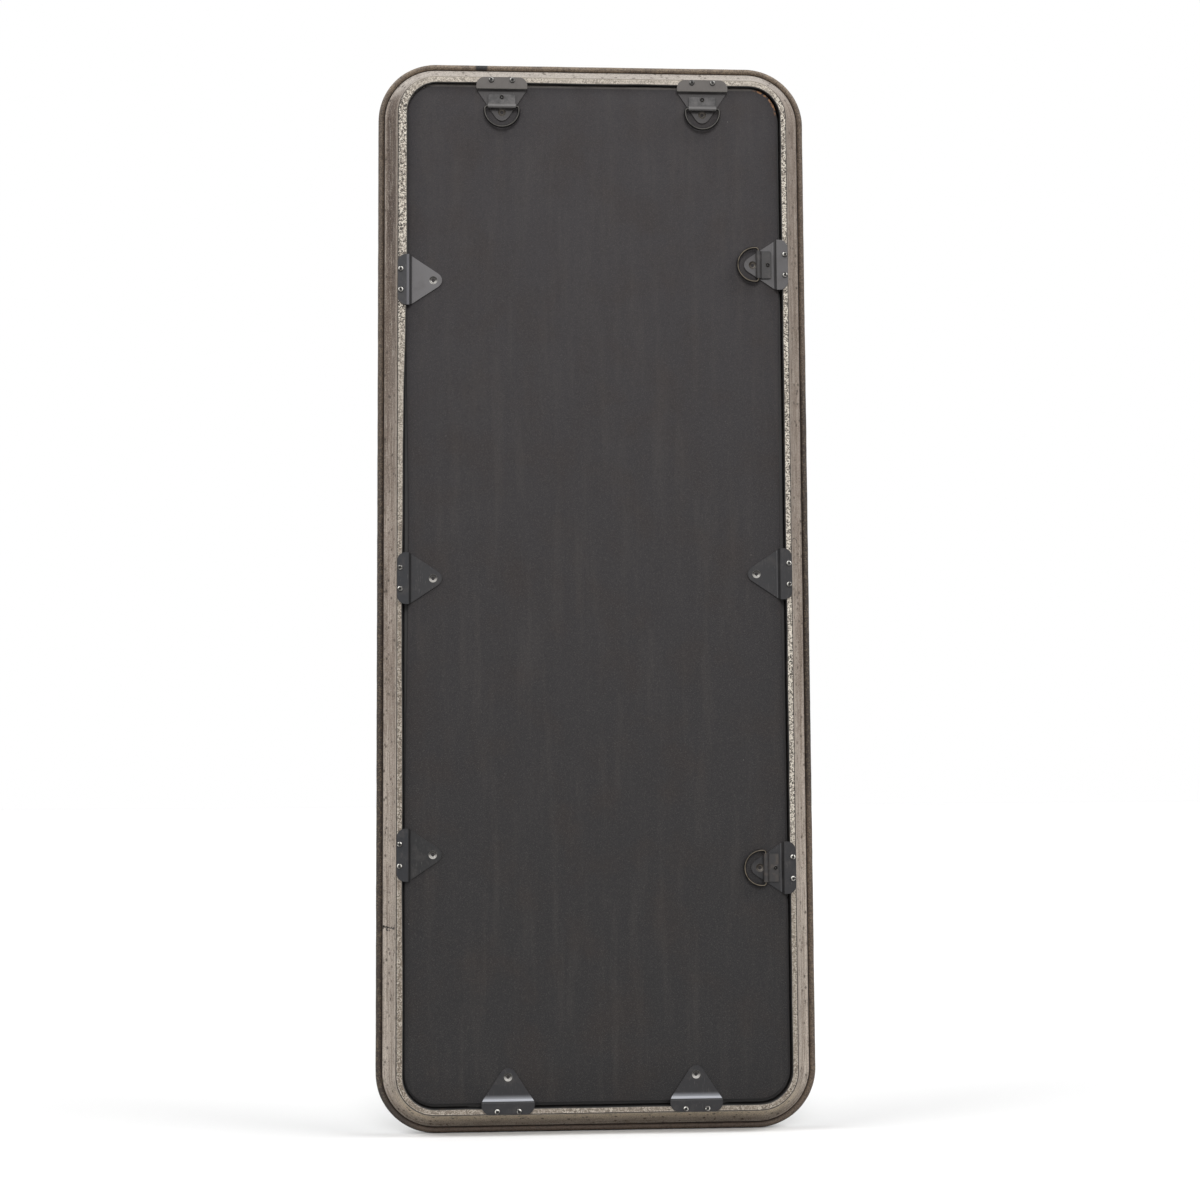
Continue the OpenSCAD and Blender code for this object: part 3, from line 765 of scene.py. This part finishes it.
tab_back_d = flange_d + recess
sunk_r, neck_r = 5.7, 4.1
sink_depth = 0.9
sink = [(0, tab_back_d - 1), (sunk_r + 1, tab_back_d - 1), (sunk_r, tab_back_d),
        (sunk_r - sink_depth, tab_back_d + sink_depth), (neck_r, tab_back_d + 1.3),
        (neck_r, tab_back_d + clip_t + 1), (0, tab_back_d + clip_t + 1)]
drill = turned("drill", sink, 32, tip_screw_u)
modify(clip, "BOOLEAN", object=drill, operation="DIFFERENCE", solver="EXACT")
bpy.data.objects.remove(drill)
sharp = math.radians(50)


def soften(piece, width):
    """Rounds the sharp edges of a piece by so many millimetres."""
    modify(piece, "BEVEL", width=width * MM, segments=2, limit_method="ANGLE", angle_limit=sharp)


def choose(*pieces):
    """Selects these pieces and nothing else, and makes the first one active."""
    bpy.ops.object.select_all(action="DESELECT")
    for piece in pieces:
        piece.select_set(True)
    bpy.context.view_layer.objects.active = pieces[0]


soften(clip, 0.3)
choose(clip)
bpy.ops.object.shade_flat()


def laid_out(piece):
    """Keeps where each vertex lies on the flat piece, as a UV map in metres, before it is put in place."""
    flat = piece.data.uv_layers.new(name="flat")
    for loop in piece.data.loops:
        flat.data[loop.index].uv = piece.data.vertices[loop.vertex_index].co.xy


def seat_of(node, angle):
    """The place of a clip, from its node's box and the direction of its tab."""
    low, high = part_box(node)
    x = {180: high.x, 0: low.x}.get(angle, (low.x + high.x) / 2)
    z = {-90: high.z, 90: low.z}.get(angle, (low.z + high.z) / 2)
    upright = Matrix.Rotation(math.pi / 2, 4, "X")
    return upright @ Matrix.Translation((x, z, 0)) @ Matrix.Rotation(math.radians(angle), 4, "Z")


def put(piece, name, place):
    """A copy of a piece with its own mesh, whose place is in its vertices."""
    twin = bpy.data.objects.new(name, piece.data.copy())
    bpy.context.scene.collection.objects.link(twin)
    twin.data.transform(place)
    return twin


turns = {"left": 180, "right": 0, "top": -90, "bottom": 90}
clip_nodes = ["clip_left_upper", "clip_left_middle", "clip_left_lower", "clip_right_middle",
              "clip_bottom_left", "clip_bottom_right"]
corners = ["top_left", "top_right", "right_upper", "right_lower"]
plate_nodes = [f"hanger_plate_{corner}" for corner in corners]
seats = {node: seat_of(node, turns[node.replace("hanger_plate", "clip").split("_")[1]])
         for node in clip_nodes + plate_nodes}

clip_paint, oxide = new_material("black_oxide_sheet")
flat = oxide.node("ShaderNodeUVMap", {"uv_map": "flat"})
inward = flat.axis("X")
place = place_in(oxide)
height = place.axis("Z")
wear_and_highlight = noise(place, 60, 4, 0.6)
scratches = noise(stretched(place, (900, 200, 120)), 1, 3)
sideways = place.axis("X")
out = distance(flat, (tip_screw_u * MM, 0, 0))
on_flange = rise(inward, 16.5 * MM, 15.5 * MM)
beside = rise(inward, 11.5 * MM, 14.0 * MM) * rise(inward, 16.2 * MM, 15.6 * MM)
upper = rise(height, 0.30, 0.40) * rise(height, 0.62, 0.50)
on_top, on_bottom = rise(height, 0.55, 0.68), rise(height, -0.55, -0.68)
on_left, on_right = rise(sideways, 0.19, 0.21), rise(sideways, -0.19, -0.21)
crease = rise(inward, 15.9 * MM, 16.5 * MM) * rise(inward, 17.9 * MM, 17.3 * MM)
ramp = rise(inward, 16.6 * MM, 17.4 * MM) * rise(inward, 20.6 * MM, 19.6 * MM)
soft_ramp = ramp * (1 - on_bottom) * (1 - rise(on_top + on_right, 0, 1) * 0.6)
bright = rise(inward, 17.0 * MM, 17.8 * MM) * rise(inward, 27.0 * MM, 18.0 * MM)
lit = rise(inward, 19.8 * MM, 20.4 * MM) * rise(inward, 21.4 * MM, 20.8 * MM)
lit_bend = rise(inward, 15.4 * MM, 15.9 * MM) * rise(inward, 17.3 * MM, 16.7 * MM)
# Painted light: the sheet gets lighter with height
colour = blend(rise(height, 0.2, 0.70), paint(34, 33, 35), paint(62, 59, 59))
colour = coated(colour, [
    # Painted shade on the left lower clip, and a painted sheen on the left upper clip and the right upper
    # plate
    (on_left * rise(height, -0.1, -0.3) * 0.85, (17, 16, 17)),
    (upper * (on_left * 0.4 + 0.6), (104, 102, 103)),
    (on_flange * on_left * 0.9, (28, 29, 33)),
    # Painted light on the top flanges, and a painted highlight beside the bend of the left upper clip
    (on_flange * on_top * 0.8, (100, 95, 91)),
    (beside * upper * on_left * 0.8, (104, 103, 108)),
    (rise(wear_and_highlight, 0.48, 0.75) * 0.30, (84, 80, 78)),
    (rise(scratches, 0.60, 0.75) * 0.25, (120, 116, 114)),
    # Painted highlights and painted shade along the bends: a light ramp on the bottom clips, dark ramps and
    # creases on the rest, a light line on the right ramps and a light bend on the top plates
    (bright * on_bottom * 0.9, (170, 172, 178)),
    (soft_ramp * 0.8, (17, 16, 17)),
    (lit * on_right * 0.25, (130, 130, 132)),
    (crease * (1 - on_top) * 0.9, (14, 13, 13)),
    (lit_bend * on_top * 0.6, (150, 146, 140)),
])
# The countersinks are bare steel, painted light where the cone faces up and painted shade where it faces
# down
up = oxide.node("ShaderNodeNewGeometry", output="Normal").axis("Z")
bare = blend(rise(up, 0.25, -0.25) * 0.9, paint(176, 173, 168), paint(38, 36, 35))
on_plate = rise(on_top + on_right * (1 - rise(height, 0.20, 0.15) * rise(height, -0.20, -0.15)), 0, 1)
bare = blend(on_plate * 0.8, bare, paint(64, 57, 50))
colour = blend(rise(out, (sunk_r + 0.25) * MM, sunk_r * MM), colour, bare)
principled(
    oxide, wear_and_highlight + scratches * 0.4, 0.08 * MM,
    Base_Color=colour, Roughness=0.42 + wear_and_highlight * 0.2, Metallic=0.2
)
laid_out(clip)
for node, seat in seats.items():
    hand_over(put(clip, f"{node}_dressed", seat), "root", clip_paint, node)
bpy.data.objects.remove(clip)


# Each strap is a strip of thinner steel sheet, folded double round the bar of its ring. Its two ends
# lie on each other on the tab, with rounded corners, and the bulge round the bar stands up beyond them.
bar_u, bar_d = 42.5, 4.37
strap_w, strap_t = 40, 1.15
strap_u = 23.5
roll_r = 2.68
strap_flat, strap_corner_r = 13, 3
under_d, over_d = 7.2, 6.02
wrap = math.radians(230)
strap = pen_down("strap_sheet", Vector((strap_u, -strap_w / 2, under_d)) * MM)
draw((strap_flat * MM, 0, 0))
draw(Vector((bar_u - strap_u - strap_flat, 0, bar_d + roll_r - under_d)) * MM)
bpy.ops.mesh.spin(
    steps=23, angle=wrap, center=Vector((bar_u, -strap_w / 2, bar_d)) * MM, axis=(0, -1, 0)
)
end_u, end_d = bar_u + roll_r * math.sin(wrap), bar_d + roll_r * math.cos(wrap)
run = (over_d - end_d) / math.tan(wrap - math.pi)
draw(Vector((-run, 0, over_d - end_d)) * MM)
draw(((strap_u - end_u + run) * MM, 0, 0))
bpy.ops.mesh.select_all(action="SELECT")
drag((0, strap_w * MM, 0))
pick(strap, lambda v: v.co.x < (strap_u + 0.1) * MM)
bpy.ops.mesh.bevel(offset=strap_corner_r * MM, segments=6, affect="VERTICES")
close_up(30)
modify(strap, "SOLIDIFY", thickness=strap_t * MM, offset=0)
soften(strap, 0.25)
choose(strap)
bpy.ops.object.shade_smooth_by_angle(angle=sharp)
modify(strap, "WEIGHTED_NORMAL", mode="FACE_AREA", weight=100, keep_sharp=True)
laid_out(strap)

strap_paint, folded = new_material("oxide_strap")
flat = folded.node("ShaderNodeUVMap", {"uv_map": "flat"})
inward = flat.axis("X")
place = place_in(folded)
wear_and_highlight = noise(place, 90, 4, 0.6)
on_roll = rise(inward, 37 * MM, 39 * MM) * rise(inward, 46 * MM, 44 * MM)
height = place.axis("Z")
on_top = rise(height, 0.50, 0.62)
colour = blend(rise(wear_and_highlight, 0.42, 0.72) * 0.6, paint(50, 48, 48), paint(82, 78, 76))
colour = coated(colour, [
    (rise(height, 0.10, -0.10) * rise(wear_and_highlight, 0.45, 0.60) * 0.3, (78, 66, 56)),
    # Painted light on the top straps and a painted highlight on their rolls
    (on_top * rise(wear_and_highlight, 0.30, 0.75) * 0.6, (112, 110, 110)),
    (on_roll * on_top * 0.7, (112, 110, 109)),
])
across = flat.axis("Y")
across = across.node("ShaderNodeMath", {"operation": "ABSOLUTE"}, {0: across})
# Painted shade: a dark line along the strap's edges and its end, where it lies on the tab
rim = rise(across, (strap_w / 2 - 1.3) * MM, (strap_w / 2 - 0.7) * MM)
rim = rise(rim + rise(inward, (strap_u + 1.3) * MM, (strap_u + 0.7) * MM), 0, 1) * (1 - on_roll)
colour = blend(rim * 0.7, colour, paint(24, 23, 23))
principled(
    folded, wear_and_highlight, 0.08 * MM, Base_Color=colour, Roughness=0.36 + wear_and_highlight * 0.25, Metallic=0.2
)
for corner in corners:
    node = f"ring_strap_{corner}"
    hand_over(put(strap, f"{node}_dressed", seats[f"hanger_plate_{corner}"]), "root",
              strap_paint, node)
bpy.data.objects.remove(strap)


# The rings are bent from 4 mm steel wire into a D: a straight bar that turns in the strap, two short
# legs and a bow. Their black oxide has a thin painted highlight along the side towards the wall, brass
# coloured on the side rings and grey on the top ones.
ring_w, wire_r = 53, 2
ring_bend, ring_leg = 3.6, 5
leg_v = ring_w / 2 - wire_r
bar_half = leg_v - ring_bend
ring = begin("wire_ring", bpy.ops.mesh.primitive_circle_add, vertices=20, radius=wire_r * MM)
bpy.ops.transform.rotate(value=math.pi / 2, orient_axis="X", center_override=(0, 0, 0))
bpy.ops.transform.translate(value=Vector((bar_u, -bar_half, bar_d)) * MM)
drag((0, 2 * bar_half * MM, 0))
for move, pivot, steps, angle in (
    ((0, 0, 0), (bar_u + ring_bend, bar_half), 8, 90),
    ((ring_leg - ring_bend, 0, 0), (bar_u + ring_leg, 0), 40, 180),
    ((ring_bend - ring_leg, 0, 0), (bar_u + ring_bend, -bar_half), 8, 90),
):
    if any(move):
        drag(Vector(move) * MM)
    pivot = Vector((*pivot, bar_d)) * MM
    bpy.ops.mesh.spin(steps=steps, angle=math.radians(angle), center=pivot, axis=(0, 0, 1))
close_up(40)
laid_out(ring)

ring_paint, wire = new_material("oxide_wire")
place = place_in(wire)
worn = noise(place, 120, 4, 0.6)
height = place.axis("Z")
# Painted highlight: a thin light line where the wire faces the wall, broken up by noise, brass coloured on
# the side rings
facing = wire.node("ShaderNodeTexCoord", output="Normal").axis("Y")
wear_and_highlight = rise(facing, 0.91, 0.99) * (rise(worn, 0.30, 0.60) * 0.6 + 0.4)
brass = blend(rise(height, 0.62, 0.55), paint(104, 101, 97), paint(122, 112, 98))
colour = blend(rise(worn, 0.45, 0.72), paint(16, 15, 15), paint(30, 28, 27))
colour = blend(wear_and_highlight, colour, brass)
principled(
    wire, worn, 0.04 * MM,
    Base_Color=colour, Roughness=0.3 + worn * 0.16, Specular_IOR_Level=0.15
)
for corner in corners:
    node = f"d_ring_{corner}"
    hand_over(put(ring, f"{node}_dressed", seats[f"hanger_plate_{corner}"]), f"ring_{corner}",
              ring_paint, node)
bpy.data.objects.remove(ring)


# Each strap is held to its tab by a hollow steel rivet, whose rim is rolled over on the strap. The
# profile, in radii and levels, goes up the bore, over the rolled rim and down the shank.
rivet_u = 28.5
rivet_profile = [(1.1, 9.6), (1.1, 5.3), (1.35, 4.8), (1.8, 4.55), (2.4, 4.5), (2.9, 4.7), (3.25, 5.1),
                 (3.3, 5.4), (2.0, 5.4), (2.0, 9.6), (1.1, 9.6)]
rivet = turned("hollow_rivet", rivet_profile, 28, rivet_u)
laid_out(rivet)
rivet_paint, rolled = new_material("rivet_steel")
place = place_in(rolled)
flat = rolled.node("ShaderNodeUVMap", {"uv_map": "flat"})
out = distance(flat, (rivet_u * MM, 0, 0))
worn = noise(place, 300, 3)
colour = blend(rise(worn, 0.4, 0.7), paint(60, 57, 55), paint(110, 106, 101))
# Painted shade: black in the bore and over the inner slope of the rolled rim
colour = blend(rise(out, 2.6 * MM, 2.2 * MM), colour, paint(4, 4, 4))
principled(
    rolled, worn, 0.04 * MM,
    Base_Color=colour, Roughness=0.35 + worn * 0.2, Specular_IOR_Level=0.1
)


def joined(name, pieces):
    """One object from several."""
    choose(*pieces)
    bpy.ops.object.join()
    pieces[0].name = name
    return pieces[0]


rivets = [put(rivet, f"rivet_{corner}", seats[f"hanger_plate_{corner}"]) for corner in corners]
hand_over(joined("strap_rivets_dressed", rivets), "root", rivet_paint, "strap_rivets")
bpy.data.objects.remove(rivet)


# Zinc plated steel screws with cross recesses: two with pan heads hold each flange to the frame, and
# one with a sunk head, dished and worn, holds the tip of each clip to the board.
screw_pitch, screw_u = 30, 4.25
head_r, head_h = 4, 2.8
head_side = 1
shank_r = 2
cross_l, cross_w, cross_depth = 4.4, 1.05, 3
cross_hub_r = 1.3
dome_r = ((head_h - head_side) ** 2 + head_r**2) / 2 / (head_h - head_side)
top_d = flange_d - head_h + 0.05
dome_steps = 8
dome = [(0, top_d)]
for step in range(1, dome_steps + 1):
    radius = head_r * step / dome_steps
    dome.append((radius, top_d + dome_r - math.sqrt(dome_r**2 - radius**2)))
pan_shank = [(head_r, flange_d), (shank_r, flange_d), (shank_r, 12.8), (0.5, 14.8), (0, 14.8)]
pan = turned("pan_screw", dome + pan_shank, 32)
pan_cross = begin("pan_cross", bpy.ops.mesh.primitive_cube_add, size=1)
bpy.ops.transform.resize(value=Vector((cross_l, cross_w, cross_depth)) * MM)
bpy.ops.mesh.duplicate()
bpy.ops.transform.rotate(value=math.pi / 2, orient_axis="Z", center_override=(0, 0, 0))
bpy.ops.mesh.primitive_cylinder_add(vertices=24, radius=cross_hub_r * MM, depth=cross_depth * MM)
bpy.ops.object.mode_set(mode="OBJECT")
modify(pan, "BOOLEAN", object=pan_cross, operation="DIFFERENCE", solver="EXACT", use_self=True)
soften(pan, 0.12)

tip_top_d = tab_back_d + sink_depth
dish_angle, sunk_head_r = 40, 4.0
dish_ball = sunk_head_r / math.sin(math.radians(dish_angle))
dish = []
for angle in range(0, dish_angle, 5):
    sunk_by = dish_ball * (math.cos(math.radians(angle)) - math.cos(math.radians(dish_angle)))
    dish.append((dish_ball * math.sin(math.radians(angle)), tip_top_d + sunk_by))
sunk_shank = [(sunk_head_r, tip_top_d), (1.8, tab_back_d + 3.4), (1.7, 13.0), (0.4, 14.6), (0, 14.6)]
sunk = turned("sunk_screw", dish + sunk_shank, 32)
smaller = Matrix.Translation((0, 0, (tip_top_d + 0.9) * MM)) @ Matrix.Diagonal((0.5, 0.75, 1, 1))
sunk_cross = put(pan_cross, "sunk_cross", smaller)
modify(sunk, "BOOLEAN", object=sunk_cross, operation="DIFFERENCE", solver="EXACT", use_self=True)
for tool in (pan_cross, sunk_cross):
    bpy.data.objects.remove(tool)


def turned_map(piece, dome_radius, top):
    """Keeps each vertex's distance from the axis and its depth under a round top, as a UV map in metres."""
    layer = piece.data.uv_layers.new(name="turned")
    for loop in piece.data.loops:
        corner = piece.data.vertices[loop.vertex_index].co
        away = corner.xy.length
        crown = top * MM + dome_radius * MM - math.sqrt(max(0, (dome_radius * MM) ** 2 - away**2))
        layer.data[loop.index].uv = (away, corner.z - crown)


# The sunk heads count as under a nearly flat top, so that only the cross is deep
nearly_flat = 400
turned_map(pan, dome_r, top_d)
turned_map(sunk, nearly_flat, tip_top_d + 1.6)
screw_paint, zinc = new_material("zinc_plated_steel")
place = place_in(zinc)
depth = place.axis("Y")
section_map = zinc.node("ShaderNodeUVMap", {"uv_map": "turned"})
outward = section_map.axis("X")
sunken = section_map.axis("Y")
on_tip = rise(depth, -5 * MM, -6 * MM)
worn = noise(place, 500, 3)
up = zinc.node("ShaderNodeNewGeometry", output="Normal").axis("Z")
stains = noise(place, 260, 1)
colour = blend(rise(stains, 0.42, 0.60), paint(236, 233, 226), paint(70, 66, 62))
colour = coated(colour, [
    # Painted shade: darker where the heads face down, black round the rim of each pan head and in its middle
    # round the cross
    (rise(up, 0.1, -0.4) * 0.5, (90, 86, 82)),
    (rise(outward, 3.1 * MM, 3.7 * MM), (14, 13, 13)),
    (rise(outward, 2.1 * MM, 1.7 * MM), (14, 13, 12)),
])
# The sunk heads are painted light where they face up and painted shade where they face down
dished = blend(rise(up, 0.20, -0.15) * 0.85, paint(178, 175, 170), paint(44, 42, 40))
dished = blend(rise(worn, 0.55, 0.75) * 0.4, dished, paint(120, 112, 102))
height = place.axis("Z")
sideways = place.axis("X")
on_right = rise(sideways, -0.1, -0.12) * (1 - rise(height, 0.20, 0.15) * rise(height, -0.20, -0.15))
on_plate = rise(rise(height, 0.55, 0.60) + on_right * rise(height, -0.60, -0.55), 0, 1)
dished = blend(on_plate * 0.75, dished, paint(92, 82, 70))
colour = blend(rise(height, 0.55, 0.60) * 0.5, colour, paint(40, 38, 37))
colour = blend(on_tip, colour, dished)
# Painted shade deep in the crosses
colour = blend(rise(sunken, 0.45 * MM, 0.7 * MM), colour, paint(20, 18, 17))
principled(zinc, worn, 0.03 * MM, Base_Color=colour, Roughness=0.3 + worn * 0.2, Metallic=0.2)
dice = random.Random(7)
pans, sunks = [], []
for node, seat in seats.items():
    for side in (-1, 1):
        hole = Matrix.Translation(Vector((screw_u, side * screw_pitch / 2, 0)) * MM)
        turn = Matrix.Rotation(dice.uniform(0, math.pi / 2), 4, "Z")
        pans.append(put(pan, f"pan_{len(pans)}", seat @ hole @ turn))
    hole = Matrix.Translation((tip_screw_u * MM, 0, 0))
    turn = Matrix.Rotation(dice.uniform(0, math.pi / 2), 4, "Z")
    sunks.append(put(sunk, f"sunk_{len(sunks)}", seat @ hole @ turn))
hand_over(joined("frame_screws_dressed", pans), "root", screw_paint, "frame_screws")
hand_over(joined("board_screws_dressed", sunks), "root", screw_paint, "board_screws")
for tool in (pan, sunk):
    bpy.data.objects.remove(tool)


# Inside the rebate lie 4 mm mirror glass with its back painted against damp, a strip of glazing tape
# between the glass and the frame, two rubber setting blocks under the glass and a sheet of grey foam.
glass_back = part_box("mirror_glass")[1].y
glass_paint, glass = new_material("mirror_glass")
place = place_in(glass)
depth = place.axis("Y")
on_back = rise(depth, glass_back - 0.3 * MM, glass_back - 0.1 * MM)
mottle = noise(place, 40, 4)
colour = blend(on_back, paint(232, 236, 234), blend(mottle, paint(38, 36, 36), paint(58, 55, 54)))
principled(
    glass, mottle * on_back, 0.05 * MM,
    Base_Color=colour, Roughness=on_back * 0.5 + 0.02, Metallic=1 - on_back
)

tape_paint, tape = new_material("glazing_tape")
place = place_in(tape)
cells = noise(place, 1500, 2)
colour = blend(cells, paint(30, 30, 31), paint(58, 57, 57))
principled(tape, cells, 0.1 * MM, Base_Color=colour, Roughness=0.85)

block_paint, rubber = new_material("setting_rubber")
place = place_in(rubber)
bloom = noise(place, 250, 4)
colour = blend(rise(bloom, 0.4, 0.7), paint(34, 33, 33), paint(72, 70, 68))
principled(rubber, bloom, 0.05 * MM, Base_Color=colour, Roughness=0.6 + bloom * 0.25)

foam_paint, foam = new_material("packing_foam")
place = place_in(foam)
bubbles = place.node("ShaderNodeTexVoronoi", {}, {"Vector": place, "Scale": 700})
tone = noise(place, 15, 3)
skin = blend(tone, paint(104, 104, 106), paint(126, 126, 127))
colour = blend(rise(bubbles, 0.0, 0.6), paint(60, 60, 62), skin)
principled(foam, bubbles, 0.3 * MM, Base_Color=colour, Roughness=0.9)

for node, material in (("mirror_glass", glass_paint), ("glazing_tape", tape_paint),
                       ("setting_blocks", block_paint), ("foam_sheet", foam_paint)):
    kept = bpy.data.objects[node]
    kept.data.materials.clear()
    kept.data.materials.append(material)
